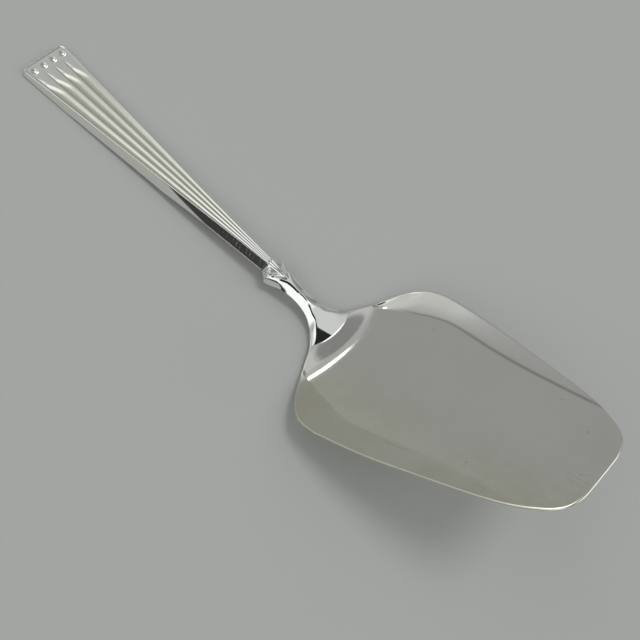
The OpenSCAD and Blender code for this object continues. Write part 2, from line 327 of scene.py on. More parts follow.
def weld(piece):
    """Joins points that share a place, such as those along the blade's spine, and turns faces outwards."""
    bm = bmesh.new()
    bm.from_mesh(piece.data)
    bmesh.ops.remove_doubles(bm, verts=bm.verts, dist=WELD_DISTANCE)
    bmesh.ops.recalc_face_normals(bm, faces=bm.faces)
    bm.to_mesh(piece.data)
    bm.free()
    piece.data.update()


def ring_faces(rows, columns):
    """Quads of a tube of closed rings, with fans for its two ends from one extra point each."""
    r, k = np.meshgrid(np.arange(rows - 1), np.arange(columns), indexing="ij")
    a = r * columns + k
    b = r * columns + (k + 1) % columns
    quads = np.stack([a, b, b + columns, a + columns], -1).reshape(-1, 4)
    k = np.arange(columns)
    start, finish = rows * columns, rows * columns + 1
    last = (rows - 1) * columns
    fans = np.concatenate([
        np.stack([np.full(columns, start), (k + 1) % columns, k], -1),
        np.stack([np.full(columns, finish), last + k, last + (k + 1) % columns], -1),
    ])
    return quads, fans


def tube(name, rings, material):
    """A closed piece from rings of points, an array of rows, columns and xyz."""
    rows, columns = rings.shape[:2]
    quads, fans = ring_faces(rows, columns)
    points = np.concatenate([rings.reshape(-1, 3), rings[:1].mean(1), rings[-1:].mean(1)])
    return mesh_object(name, points, quads, fans, material)


def store(piece, name, values):
    """Keeps one number for each point of a piece, for its material to read."""
    layer = piece.data.attributes.new(name, "FLOAT", "POINT")
    layer.data.foreach_set("value", np.asarray(values, np.float32).ravel())


# Handle surfaces

def taper(s):
    """How wide the panel is at a station beside its width at the butt, on a straight taper."""
    return mix(1, PANEL_TAPER, s / HANDLE_LENGTH)


def panel_half(s):
    """Half width of the panel: a straight taper to the joint, drawn in by the butt's round corners."""
    return mix(PANEL_BUTT_HALF, PANEL_JOINT_HALF, s / HANDLE_LENGTH) - round_off(s, BUTT_CORNER_RADIUS)


def panel_top(s):
    """Height of the panel: a straight rise to the joint, rounded off at the butt's end."""
    return mix(PANEL_BUTT_HEIGHT, PANEL_JOINT_HEIGHT, s / HANDLE_LENGTH) - round_off(s, END_EDGE_RADIUS)


def underside(s):
    """Height of the underside: on the table at first, then a straight rise to the joint."""
    return np.maximum(UNDERSIDE_JOINT_HEIGHT * (s - REST_LENGTH) / (HANDLE_LENGTH - REST_LENGTH), 0)


def wall_slope(s, part):
    """Slope of the side walls, which turns from steep to flatter, first along their upper edge.

    Towards the joint it ripples by the sum of two sines, which lean against each other down the wall.
    """
    turn = rise(s, WALL_TURN_START + WALL_TURN_SLANT * part, WALL_TURN_LENGTH)
    waves = np.sin(2 * math.pi * (s + RIPPLE_LEAN * part) / RIPPLE_LENGTH)
    waves = waves + np.sin(CROSS_RIPPLE_TURN * s - CROSS_RIPPLE_LEAN * part)
    fade = rise(s, RIPPLE_START, RIPPLE_RISE_LENGTH) * smooth((HANDLE_LENGTH - s) / RIPPLE_END_LENGTH)
    return mix(WALL_SLOPE, WALL_FRONT_SLOPE, turn) + RIPPLE_SLOPE * fade * waves / 2


def flute_cut(s, across):
    """Depth of the flutes at station s and place across their band, from 0 to 1.

    Each flute drops at its near side, has a level floor, and rises over a bank to its far side. The bank
    starts at the near side by the butt and moves over, so the floor begins as a slanting point. A round
    dimple marks each flute's start.
    """
    place = np.clip(across, 0, 1 - 1e-9) * FLUTE_COUNT
    part = place - np.floor(place)
    bank = curve(FLUTE_BANK_PLACES, s)
    floor = smooth(part / FLUTE_NEAR_PART) * (1 - rise(part, bank - FLUTE_BANK_PART, 2 * FLUTE_BANK_PART))
    deeper = mix(1, FLUTE_FRONT_DEEPER, rise(s, FLUTE_DEEPER_START, FLUTE_DEEPER_LENGTH))
    reach = np.where(s < DIMPLE_PLACE, DIMPLE_REAR, DIMPLE_FRONT)
    dimple = 1 - ((s - DIMPLE_PLACE) / reach) ** 2 - ((part - 0.5) / DIMPLE_HALF_PART) ** 2
    return FLUTE_DEPTH * taper(s) * deeper * floor + DIMPLE_DEPTH * np.clip(dimple, 0, None)


def rim_fade(s):
    """1 by the butt, falling to 0 towards the joint."""
    return 1 - rise(s, RIM_FADE_START, RIM_FADE_LENGTH)


def rim_rise(s, y):
    """Height of the raised rim along the butt and the panel's sides, fading towards the joint."""
    edge = np.minimum(panel_half(s) - np.abs(y), s)
    return RIM_HEIGHT * rim_fade(s) * (1 - rise(edge, RIM_WIDTH, RIM_SIDE))


def handle_rings():
    """Rings of the handle, and how much tarnish lies at each of their points.

    Each ring goes over the fluted top, down the far wall, which leans outwards by its slopes summed from
    the top, round the lower edge on a quarter circle, along the underside, and up the near wall.
    """
    stations = np.concatenate([
        END_STATIONS,
        np.arange(END_EDGE_RADIUS, BUTT_DETAIL_END, BUTT_STEP),
        np.arange(BUTT_DETAIL_END, WALL_TURN_START, PLAIN_STEP),
        np.arange(WALL_TURN_START, HANDLE_LENGTH - WALL_END_GAP, WALL_STEP),
        [HANDLE_LENGTH - SHARP_END, HANDLE_LENGTH],
    ])
    s = stations[:, None]
    band = panel_half(s) - RIM_WIDTH * taper(s) - RIM_FOOT * panel_half(s) / PANEL_BUTT_HALF
    near_rim = -mix(panel_half(s), band, RIM_COLUMNS[None, :])
    across = np.linspace(0, 1, FLUTE_COUNT * FLUTE_COLUMNS + 1)[None, 1:-1]
    top_y = np.concatenate([near_rim, band * (2 * across - 1), -near_rim[:, ::-1]], 1)
    part = (top_y / band + 1) / 2
    cut = np.where((part > 1e-6) & (part < 1 - 1e-6), flute_cut(s, np.clip(part, 0, 1)), 0)
    top_z = panel_top(s) - RIM_HEIGHT * rim_fade(s) + rim_rise(s, top_y) - cut
    top_z = top_z - END_BEVEL_SLOPE * np.maximum(END_BEVEL - s, 0)
    over = np.clip((np.abs(top_y) - panel_half(s) + PANEL_EDGE_RADIUS) / PANEL_EDGE_RADIUS, 0, 1)
    top_z = top_z - PANEL_EDGE_DROP * (1 - np.sqrt(1 - over ** 2))

    low = underside(s)
    height = panel_top(s) - low
    wall = np.linspace(0, 1, WALL_ROWS + 1)[None, 1:]
    slopes = wall_slope(s, wall - 0.5 / WALL_ROWS)
    radius = height * (1 - WALL_FOOT_SHARE / slopes.mean(1, keepdims=True))
    radius = np.maximum(radius, np.minimum(LOWER_EDGE_RADIUS, height / 2))
    wall_y = panel_half(s) + np.cumsum(slopes, 1) * (height - radius) / WALL_ROWS
    wall_z = mix(top_z[:, -1:], low + radius, wall)
    foot = wall_y[:, -1:]
    turn = np.linspace(0, math.pi / 2, EDGE_TURNS)[None, 1:]
    turn_y = foot - radius * (1 - np.cos(turn))
    turn_z = low + radius * (1 - np.sin(turn))
    under_y = np.linspace(1, -1, UNDERSIDE_COLUMNS)[None, 1:-1] * (foot - radius)
    under_z = low + 0 * under_y
    y = np.concatenate([top_y, wall_y, turn_y, under_y, -turn_y[:, ::-1], -wall_y[:, ::-1]], 1)
    z = np.concatenate([top_z, wall_z, turn_z, under_z, turn_z[:, ::-1], wall_z[:, ::-1]], 1)
    x = s + 0 * y
    clean = rise(s, HOLLOW_FADE_START, HOLLOW_FADE_LENGTH)
    tarnished = mix(HOLLOW_TARNISH, HOLLOW_JOINT_TARNISH, clean) * cut / (FLUTE_DEPTH * taper(s))
    hollow = np.concatenate([tarnished, 0 * y[:, top_y.shape[1]:]], 1)
    return np.stack([x, y, z], -1), hollow


# Blade surfaces

def blade_part(s):
    """Share of the blade's length that lies behind a station."""
    return (s - BLADE_START) / BLADE_LENGTH


def shoulder_at(s, y):
    """Height of the shoulder: its crest's curve, less a fall with the square of the distance to the side."""
    crest = SHOULDER_HEIGHT * curve(CREST_SHARES, (s - BLADE_START) / SHOULDER_LENGTH)
    return crest - SHOULDER_DROOP * (y / (BLADE_HALF * DROOP_REACH_SHARE)) ** 2


def flat_at(s):
    """Height of the sloping flat: a straight slope from the fold, with a parabola's sag along it."""
    part = (s - BLADE_START - SHOULDER_LENGTH) / (BLADE_LENGTH - SHOULDER_LENGTH)
    straight = math.tan(math.radians(BLADE_SLOPE)) * (s - BLADE_START - SHOULDER_LENGTH)
    return FOLD_HEIGHT + straight + FLAT_SAG * 4 * part * (part - 1)


def side_lift(s, y):
    """Height of the turned up sides: part straight, part a cubic that starts level at their fold."""
    fold = BLADE_HALF * curve(SIDE_FOLD_SHARES, blade_part(s))
    rim = BLADE_HALF * curve(RIM_SHARES, blade_part(s))
    t = np.maximum(np.abs(y) - fold, 0) / np.maximum(rim - fold, SIDE_RISE)
    soft = t * t * (3 - t) / 2
    return SIDE_RISE * curve(SIDE_RISE_SHARES, blade_part(s)) * mix(soft, t, SIDE_STRAIGHT_SHARE)


def blade_at(s, y):
    """Height of the blade's upper face: the higher of the flat and the shoulder, blended at the fold."""
    return smooth_max(flat_at(s) + side_lift(s, y), shoulder_at(s, y), FOLD_BLEND)


def blade_normal(s, y):
    """Upward unit normal of the upper face, from its height a small step to each side."""
    dx = (blade_at(s + SLOPE_STEP, y) - blade_at(s - SLOPE_STEP, y)) / (2 * SLOPE_STEP)
    dy = (blade_at(s, y + SLOPE_STEP) - blade_at(s, y - SLOPE_STEP)) / (2 * SLOPE_STEP)
    n = np.stack([-dx, -dy, np.ones_like(dx)], -1)
    return n / np.linalg.norm(n, axis=-1, keepdims=True)


def outline_points(count):
    """The far half of the rim, evenly spaced, from the rear edge's middle to the tip's middle.

    Between two table points it is the cubic that passes both with the slopes of their neighbours.
    """
    p = np.array(OUTLINE_SHARES, float) * (BLADE_LENGTH, BLADE_HALF) + (BLADE_START, 0)
    q = np.concatenate([p[:1] * (1, -1), p, p[-1:] * (1, -1)])
    t = np.linspace(0, 1, OUTLINE_STEPS, endpoint=False)[:, None]
    fine = []
    for a, b, c, d in zip(q[:-3], q[1:-2], q[2:-1], q[3:]):
        bend = (3 * b - a - 3 * c + d) * t ** 3 + (2 * a - 5 * b + 4 * c - d) * t ** 2
        fine.append((bend + (c - a) * t + 2 * b) / 2)
    fine = np.concatenate(fine + [p[-1:]])
    length = np.concatenate([[0], np.cumsum(np.hypot(*np.diff(fine, axis=0).T))])
    even = np.linspace(0, length[-1], count)
    return np.stack([np.interp(even, length, fine[:, 0]), np.interp(even, length, fine[:, 1])], -1)


def blade_rings():
    """Rings round the blade's spine: out over the upper face, round the edge and back underneath.

    The underside is the upper face moved down along its normals by the sheet's thickness, and the edge is
    a half circle between the two.
    """
    far = outline_points(OUTLINE_POINTS)
    rim = np.concatenate([far, (far * (1, -1))[-2:0:-1]])
    ahead = np.roll(rim, -1, 0) - np.roll(rim, 1, 0)
    ahead /= np.linalg.norm(ahead, axis=1, keepdims=True)
    out = np.stack([-ahead[:, 1], ahead[:, 0]], -1)
    half = SHEET / 2
    inner = rim - half * out
    spine_x = np.clip(rim[:, 0], BLADE_START + SPINE_REAR_INSET, BLADE_START + BLADE_LENGTH - SPINE_TIP_INSET)
    spine = np.stack([spine_x, 0 * spine_x], -1)
    reach = np.linspace(0, 1, BLADE_ROWS)[:, None, None] ** BLADE_ROW_POWER
    flat = mix(spine, inner, reach)
    upper = np.concatenate([flat, blade_at(flat[..., 0], flat[..., 1])[..., None]], -1)
    lower = upper - SHEET * blade_normal(flat[..., 0], flat[..., 1])
    n = blade_normal(inner[:, 0], inner[:, 1])
    side = np.concatenate([out, np.zeros((len(out), 1))], 1)
    side -= (side * n).sum(1, keepdims=True) * n
    side /= np.linalg.norm(side, axis=1, keepdims=True)
    turn = np.linspace(0, math.pi, EDGE_TURNS + 1)[1:-1, None, None]
    edge = (upper[-1] + lower[-1]) / 2 + half * (np.cos(turn) * n + np.sin(turn) * side)
    rings = np.concatenate([upper, edge, lower[::-1]])
    rings[..., 2] = np.maximum(rings[..., 2], 0)
    return rings


def blade_object(material):
    """The blade as one closed sheet, welded along its spine."""
    rings = blade_rings()
    rows, columns = rings.shape[:2]
    r, k = np.meshgrid(np.arange(rows - 1), np.arange(columns), indexing="ij")
    a = r * columns + k
    b = r * columns + (k + 1) % columns
    quads = np.stack([a, a + columns, b + columns, b], -1).reshape(-1, 4)
    piece = mesh_object("blade_sheet", rings, quads, material=material)
    weld(piece)
    return piece


# Stem surfaces, where a part p is a share of the way from the joint to the tongue's front

SEAT_HEIGHT = SHOULDER_HEIGHT * CREST_SHARES[0][1] + SOLDER_GAP
JOINT_FOOT_HALF = CALYX_HALF * CALYX_WIDTH_SHARES[0][1]


def stem_half(p):
    """Half width: the calyx by its table, then powers of the distance to the waist on both sides of it."""
    wing = CALYX_HALF * curve(CALYX_WIDTH_SHARES, p)
    behind = np.clip(WAIST_SHARE - p, 0, None) / (WAIST_SHARE - CALYX_SHARE)
    ahead = np.clip(p - WAIST_SHARE, 0, None) / (1 - WAIST_SHARE)
    waist = mix(WAIST_HALF, CALYX_HALF, behind ** WAIST_POWER)
    flare = mix(WAIST_HALF, TONGUE_HALF, ahead ** FLARE_POWER)
    return np.where(p < CALYX_SHARE, wing, np.where(p < WAIST_SHARE, waist, flare))


def stem_top(p):
    """Height of the crest: from the panel's height down to the neck's, then down to the tongue's."""
    rise_back = (PANEL_JOINT_HEIGHT - CREST_HEIGHT) * curve(CREST_RISE_SHARES, p)
    return mix(CREST_HEIGHT, TONGUE_HEIGHT, curve(CREST_FALL_SHARES, p)) + rise_back


def stem_low(p):
    """Height of the underside's middle, from the handle's underside down to the seat on the blade."""
    return mix(SEAT_HEIGHT, UNDERSIDE_JOINT_HEIGHT, curve(UNDERSIDE_SHARES, p / LAP_PART))


def side_level(p):
    """Height at which the upper and the lower side meet, up to the wings and then down to the tongue."""
    seam = mix(UNDERSIDE_JOINT_HEIGHT, PANEL_JOINT_HEIGHT, SEAM_LEVEL_SHARE)
    joint = mix(seam, WING_LEVEL, smooth(p / CALYX_SHARE))
    front = mix(WING_LEVEL, TONGUE_HEIGHT - TONGUE_DOME, curve(SIDE_FALL_SHARES, p))
    return np.where(p < CALYX_SHARE, joint, front)


def leaf_fall(along, y, half):
    """How far the calyx steps down outside its two overlapping leaves, whose edges sweep in and forward."""
    fall = 0 * y
    for start in LEAF_STARTS:
        sweep = np.clip((along - start) / LEAF_RUN, 0, 1)
        outside = rise(np.abs(y), half * (1 - sweep ** LEAF_POWER), LEAF_STEP_WIDTH)
        fade = 1 - rise(sweep, 1 - LEAF_FADE_SHARE, LEAF_FADE_SHARE)
        fall = fall + np.where(along < start, 0, LEAF_STEP * outside * fade)
    return fall


def panel_point(along, y):
    """Height given by the handle's fluted panel, which runs on over the calyx as a raised, grooved point.

    The point's width is a power of the length that is left of it, and its grooves are a cosine across it.
    """
    half = PANEL_JOINT_HALF * np.clip(1 - along / POINT_LENGTH, 0, 1) ** POINT_POWER
    beside = rise(np.abs(y), half, POINT_STEP_WIDTH)
    end = 1 - rise(along, POINT_LENGTH - POINT_END_OVERLAP, POINT_END_LENGTH)
    across = (y / np.maximum(half, POINT_LEAST_HALF) + 1) / 2
    groove = 0.5 - 0.5 * np.cos(math.pi * FLUTE_COUNT * across)
    depth = mix(half / PANEL_JOINT_HALF * groove, 1, beside)
    return -POINT_STEP * smooth(along / POINT_START_LENGTH) * end * depth


def stem_rings():
    """Rings of the stem: over the top from the near side to the far side, and back underneath.

    The upper side falls from the crest with a power of the distance from its flat middle. The lower side
    is a blend of a wedge and an oval, and follows the blade's face under the tongue. The tongue's front
    is bowed back with the square of the distance to its side, and ends in a quarter round lip.
    """
    p = np.concatenate([
        [0],
        np.linspace(SHARP_END_PART, CALYX_ROWS_END, CALYX_ROWS)[:-1],
        np.linspace(CALYX_ROWS_END, 1, NECK_ROWS),
    ])[:, None]
    c = np.sin(math.pi * (np.arange(STEM_COLUMNS + 1) / STEM_COLUMNS - 0.5))[None, :]
    bow = TONGUE_BOW * rise(p, TONGUE_ROOT_SHARE, 1 - TONGUE_ROOT_SHARE)
    x = mix(STEM_START, STEM_END, p) - bow * c ** 2
    half = stem_half(p)
    y = half * c
    level, top, low = side_level(p), stem_top(p), stem_low(p)
    flat = curve(TONGUE_FLAT_SHARES, p)
    inmost = smooth_max(-flat, 0, CREASE_ROUND)
    out = smooth_max(np.abs(c) - flat, 0, CREASE_ROUND) - inmost
    out = out / (smooth_max(1 - flat, 0, CREASE_ROUND) - inmost)
    roof = 1 - out ** curve(ROOF_POWERS, p)
    corner = np.maximum(CORNER_START + CORNER_TURN * (STEM_END - TONGUE_BOW - x), CORNER_LEAST)
    top = top - CORNER_SLOPE * smooth_max(np.abs(y) - corner, 0, CORNER_ROUND)
    joint_top = np.clip((1 - np.abs(c)) / (1 - PANEL_JOINT_HALF / JOINT_FOOT_HALF), 0, 1)
    joint_low = np.sqrt(np.clip((1 - np.abs(c)) / JOINT_BELLY_SHARE, 0, 1))
    blend_out = smooth(p / CALYX_SHARE)
    along = x - STEM_START
    upper = mix(level, top, mix(joint_top, roof, blend_out))
    upper = upper + panel_point(along, y) - leaf_fall(along, y, half)
    belly = mix(1 - np.abs(c), np.sqrt(np.maximum(1 - c ** 4, 0)), curve(BELLY_SHARES, p))
    under = mix(level, low, mix(joint_low, belly, blend_out))
    seat = blade_at(np.maximum(x, BLADE_START), y) + SOLDER_GAP
    on_blade = rise(p, LAP_PART - LAP_BLEND_PART, LAP_BLEND_PART)
    lower = np.minimum(mix(under, seat, on_blade), upper - STEM_THIN)
    over = np.stack([x, y, upper], -1)
    back = np.stack([x, y, lower], -1)
    ahead = np.stack([half[-1] + 0 * c[0], 2 * TONGUE_BOW * c[0], 0 * c[0]], -1)
    ahead /= np.linalg.norm(ahead, axis=1, keepdims=True)
    middle, thick = (over[-1] + back[-1]) / 2, (over[-1] - back[-1]) / 2
    turns = np.linspace(0, math.pi / 2, EDGE_TURNS)[1:, None, None]
    lip = middle + TONGUE_LIP * np.sin(turns) * ahead
    over = np.concatenate([over, lip + np.cos(turns) * thick])
    back = np.concatenate([back, lip - np.cos(turns) * thick])
    return np.concatenate([over, back[:, ::-1]], 1)


# Materials

# Wear: a step is the low and the high value of a noise, then what each of them becomes
CLOUD_SCALE = 45.0
CLOUD_DETAIL = 5.0
CLOUD_STEP = (0.3, 0.7, 0.72, 1.2)
MOTTLE_SCALE = 420.0
MOTTLE_DETAIL = 3.0
MOTTLE_HEIGHT = 0.5
HOLLOW_STEP = (0.3, 0.65, 0.75, 1.1)
DULL_STEP = (0.3, 0.7, 0.75, 1.3)
SCRATCH_DETAIL = 2.0
SCRATCH_STEP = (0.62, 0.75)
SCRATCH_HEIGHT = 0.3
SCRATCH_ALONG = 60.0
SCRATCH_ACROSS = 3200.0
SCRATCH_TURNS = (24, -52)
SCRATCH_SECOND_SHARE = 0.8
SCRATCH_WHITENING = 0.05
SCRATCH_ROUGHNESS = 0.05
SPECK_SCALE = 95.0
SPECK_CORE = 0.012
SPECK_EDGE = 0.03
SPECK_PICK = (0.8, 0.81)
MARK_CORE = 0.35
# These also give the colour and darkness of the painted dark reflection line in the blade's bend
MARK_AND_PAINTED_REFLECTION_COLOUR = (0.24, 0.23, 0.2, 1)
MARK_AND_PAINTED_REFLECTION_DARKNESS = 0.55
MARK_ROUGHNESS = 0.2
HOLLOW_ROUGHNESS = 0.06
BUMP_STRENGTH = 0.12
BUMP_DEPTH = 0.00002
# Blade: tarnish, with the start and the length of each rise
BLADE_TARNISH = 0.22
NEAR_TARNISH = 0.6
NEAR_SPAN = (-28, 34)
CORNER_TARNISH = 0.3
CORNER_SPAN = (8, 22)
CORNER_SIDE_SPAN = (10, 14)
TIP_TARNISH = 0.3
TIP_SPAN = (80, 18)
SHOULDER_TARNISH_SHARE = 0.2
SHOULDER_SPAN = (9, 9)
# Blade: a painted dark reflection along the bend of the far turned up side, with spans as shares of the
# length
PAINTED_REFLECTION_OUTSIDE = 1.0
PAINTED_REFLECTION_HALF_WIDTH = 0.5
PAINTED_REFLECTION_DARKNESS = 1.1
PAINTED_REFLECTION_REAR_SPAN = (0.15, 0.1)
PAINTED_REFLECTION_TIP_SPAN = (0.83, 0.12)
# Blade: marks on the flat. Each has the distance from the rear edge and from the centre line of both of
# its ends, then its half width and strength
BLADE_MARKS = [
    (46.4, -24.3, 50.3, -24, 0.16, 0.6),
    (50.3, -24, 53.3, -23, 0.16, 0.6),
    (92.7, -3.1, 94, -2, 0.3, 0.8),
    (88.7, -4.1, 96.1, -4.5, 0.22, 0.35),
    (90.2, -5.9, 95.3, -5.9, 0.22, 0.3),
    (31.4, 21.1, 31.6, 21.3, 0.35, 0.9),
    (76.5, 17.6, 76.7, 17.7, 0.35, 0.8),
    (87.1, 11.1, 87.3, 10.8, 0.35, 0.8),
    (67.9, -17, 68.1, -16.8, 0.3, 0.8),
    (79.3, -19.4, 79.5, -19.3, 0.3, 0.8),
]


def new_group(name, inputs, outputs):
    """An empty shader node group with float, colour and vector sockets, and its two end nodes."""
    group = bpy.data.node_groups.new(name, "ShaderNodeTree")
    kinds = {"value": "NodeSocketFloat", "colour": "NodeSocketColor", "vector": "NodeSocketVector"}
    for label, kind in inputs:
        group.interface.new_socket(label, in_out="INPUT", socket_type=kinds[kind])
    for label, kind in outputs:
        group.interface.new_socket(label, in_out="OUTPUT", socket_type=kinds[kind])
    return group, group.nodes.new("NodeGroupInput"), group.nodes.new("NodeGroupOutput")


def put(tree, kind, settings=None, **values):
    """A node with its settings and the values or links of its inputs, named with underscores for spaces."""
    made = tree.nodes.new(kind)
    for label, value in (settings or {}).items():
        setattr(made, label, value)
    for label, value in values.items():
        key = int(label[1:]) if label[1:].isdigit() else label.replace("_", " ")
        if isinstance(value, bpy.types.NodeSocket):
            tree.links.new(value, made.inputs[key])
        else:
            made.inputs[key].default_value = value
    return made


def ramp(tree, value, low, high, to_low=0.0, to_high=1.0):
    """A smooth step of a value from one level to another."""
    made = put(tree, "ShaderNodeMapRange", {"interpolation_type": "SMOOTHSTEP"}, Value=value)
    made.inputs["From Min"].default_value = low
    made.inputs["From Max"].default_value = high
    made.inputs["To Min"].default_value = to_low
    made.inputs["To Max"].default_value = to_high
    return made.outputs["Result"]


def maths(tree, operation, a, b, clamp=False):
    """One arithmetic step with two values, held between 0 and 1 if asked."""
    made = put(tree, "ShaderNodeMath", {"operation": operation, "use_clamp": clamp}, i0=a, i1=b)
    return made.outputs["Value"]


def vectors(tree, operation, a, b):
    """One step with two vectors. It gives a vector, or a number for their product or distance."""
    made = put(tree, "ShaderNodeVectorMath", {"operation": operation}, i0=a, i1=b)
    return made.outputs["Value" if operation in ("DOT_PRODUCT", "DISTANCE") else "Vector"]


def blend(tree, factor, a, b):
    """A colour blend."""
    made = tree.nodes.new("ShaderNodeMix")
    made.data_type = "RGBA"
    sockets = [s for s in made.inputs if s.enabled]
    for socket, value in zip(sockets, (factor, a, b)):
        if isinstance(value, bpy.types.NodeSocket):
            tree.links.new(value, socket)
        else:
            socket.default_value = value
    return [s for s in made.outputs if s.enabled][0]


def noise(tree, place, scale, detail):
    """Noise between 0 and 1, mostly near its middle."""
    return put(tree, "ShaderNodeTexNoise", Vector=place, Scale=scale, Detail=detail).outputs["Fac"]


def streaks(tree, place, turn, across):
    """Fine lines in one direction: noise that is stretched along it."""
    turned = put(tree, "ShaderNodeMapping", Vector=place)
    turned.inputs["Rotation"].default_value = (0, 0, math.radians(turn))
    turned.inputs["Scale"].default_value = (SCRATCH_ALONG, across, SCRATCH_ALONG)
    return ramp(tree, noise(tree, turned.outputs["Vector"], 1.0, SCRATCH_DETAIL), *SCRATCH_STEP)


def make_wear_and_painted_reflection():
    """Wear of silver plate: tarnish in clouds and hollows, fine scratches, dull patches and dark specks, with
    a painted dark reflection line laid in where asked.

    Clouds thin and thicken the tarnish, a fine mottle does so in the hollows and varies the roughness,
    and two sets of crossing lines make the scratches. A few cells of a scatter hold a speck each.
    """
    group, given, result = new_group(
        "silver_wear_and_painted_reflection",
        [("Clean", "colour"), ("Tarnish", "colour"), ("Tarnish Amount", "value"), ("Hollow", "value"),
         ("Roughness", "value"), ("Scratches", "value"), ("Marks", "value"), ("Painted Reflection", "value")],
        [("Color", "colour"), ("Roughness", "value"), ("Height", "value")],
    )
    asked = given.outputs
    place = put(group, "ShaderNodeTexCoord").outputs["Object"]
    cloud = noise(group, place, CLOUD_SCALE, CLOUD_DETAIL)
    mottle = noise(group, place, MOTTLE_SCALE, MOTTLE_DETAIL)

    first = streaks(group, place, SCRATCH_TURNS[0], SCRATCH_ACROSS)
    second = streaks(group, place, SCRATCH_TURNS[1], SCRATCH_ACROSS * SCRATCH_SECOND_SHARE)
    lines = maths(group, "MULTIPLY", maths(group, "MAXIMUM", first, second), asked["Scratches"])
    cells = put(group, "ShaderNodeTexVoronoi", Vector=place, Scale=SPECK_SCALE)
    pick = put(group, "ShaderNodeSeparateColor", Color=cells.outputs["Color"]).outputs["Red"]
    speck = ramp(group, cells.outputs["Distance"], SPECK_CORE, SPECK_EDGE, 1, 0)
    speck = maths(group, "MULTIPLY", speck, ramp(group, pick, *SPECK_PICK))
    speck = maths(group, "MULTIPLY", speck, asked["Scratches"])
    marks = maths(group, "MAXIMUM", speck, asked["Marks"])
    # The painted dark reflection line in the blade's bend is darkened here together with the real marks
    dark = maths(group, "MAXIMUM", marks, asked["Painted Reflection"])

    spread = maths(group, "MULTIPLY", asked["Tarnish Amount"], ramp(group, cloud, *CLOUD_STEP))
    hollow = maths(group, "MULTIPLY", asked["Hollow"], ramp(group, mottle, *HOLLOW_STEP))
    colour = blend(group, maths(group, "ADD", spread, hollow, True), asked["Clean"], asked["Tarnish"])
    colour = blend(group, maths(group, "MULTIPLY", lines, SCRATCH_WHITENING), colour, (1, 1, 1, 1))
    colour = blend(group, maths(group, "MULTIPLY", dark, MARK_AND_PAINTED_REFLECTION_DARKNESS), colour, MARK_AND_PAINTED_REFLECTION_COLOUR)
    group.links.new(colour, result.inputs["Color"])

    dull = maths(group, "MULTIPLY", asked["Roughness"], ramp(group, mottle, *DULL_STEP))
    dull = maths(group, "ADD", dull, maths(group, "MULTIPLY", lines, SCRATCH_ROUGHNESS))
    dull = maths(group, "ADD", dull, maths(group, "MULTIPLY", hollow, HOLLOW_ROUGHNESS))
    dull = maths(group, "ADD", dull, maths(group, "MULTIPLY", marks, MARK_ROUGHNESS))
    group.links.new(dull, result.inputs["Roughness"])

    grain = maths(group, "MULTIPLY", mottle, MOTTLE_HEIGHT)
    height = maths(group, "SUBTRACT", grain, maths(group, "MULTIPLY", lines, SCRATCH_HEIGHT))
    group.links.new(maths(group, "SUBTRACT", height, marks), result.inputs["Height"])
    return group


def make_mark():
    """A mark along a short straight line from Start to End, soft at its sides.

    It is 1 where the distance to the line's nearest point is small beside Width, and falls to 0 at Width.
    """
    group, given, result = new_group(
        "line_mark",
        [("Start", "vector"), ("End", "vector"), ("Width", "value")],
        [("Mask", "value")],
    )
    place = put(group, "ShaderNodeTexCoord").outputs["Object"]
    away = vectors(group, "SUBTRACT", place, given.outputs["Start"])
    run = vectors(group, "SUBTRACT", given.outputs["End"], given.outputs["Start"])
    part = maths(group, "DIVIDE", vectors(group, "DOT_PRODUCT", away, run),
                 vectors(group, "DOT_PRODUCT", run, run), True)
    nearest = put(group, "ShaderNodeVectorMath", {"operation": "SCALE"}, i0=run, Scale=part).outputs["Vector"]
    share = maths(group, "DIVIDE", vectors(group, "DISTANCE", away, nearest), given.outputs["Width"])
    group.links.new(ramp(group, share, MARK_CORE, 1.0, 1, 0), result.inputs["Mask"])
    return group


def blade_marks(tree):
    """The strongest of the blade's line marks at each point."""
    mask = 0.0
    for start_s, start_y, end_s, end_y, width, strength in BLADE_MARKS:
        line = tree.nodes.new("ShaderNodeGroup")
        line.node_tree = MARK
        for label, s, y in (("Start", start_s, start_y), ("End", end_s, end_y)):
            z = float(blade_at(np.array(BLADE_START + s), np.array(y)))
            line.inputs[label].default_value = ((BUTT_X + BLADE_START + s) * MM, y * MM, z * MM)
        line.inputs["Width"].default_value = width * MM
        mask = maths(tree, "MAXIMUM", mask, maths(tree, "MULTIPLY", line.outputs["Mask"], strength))
    return mask


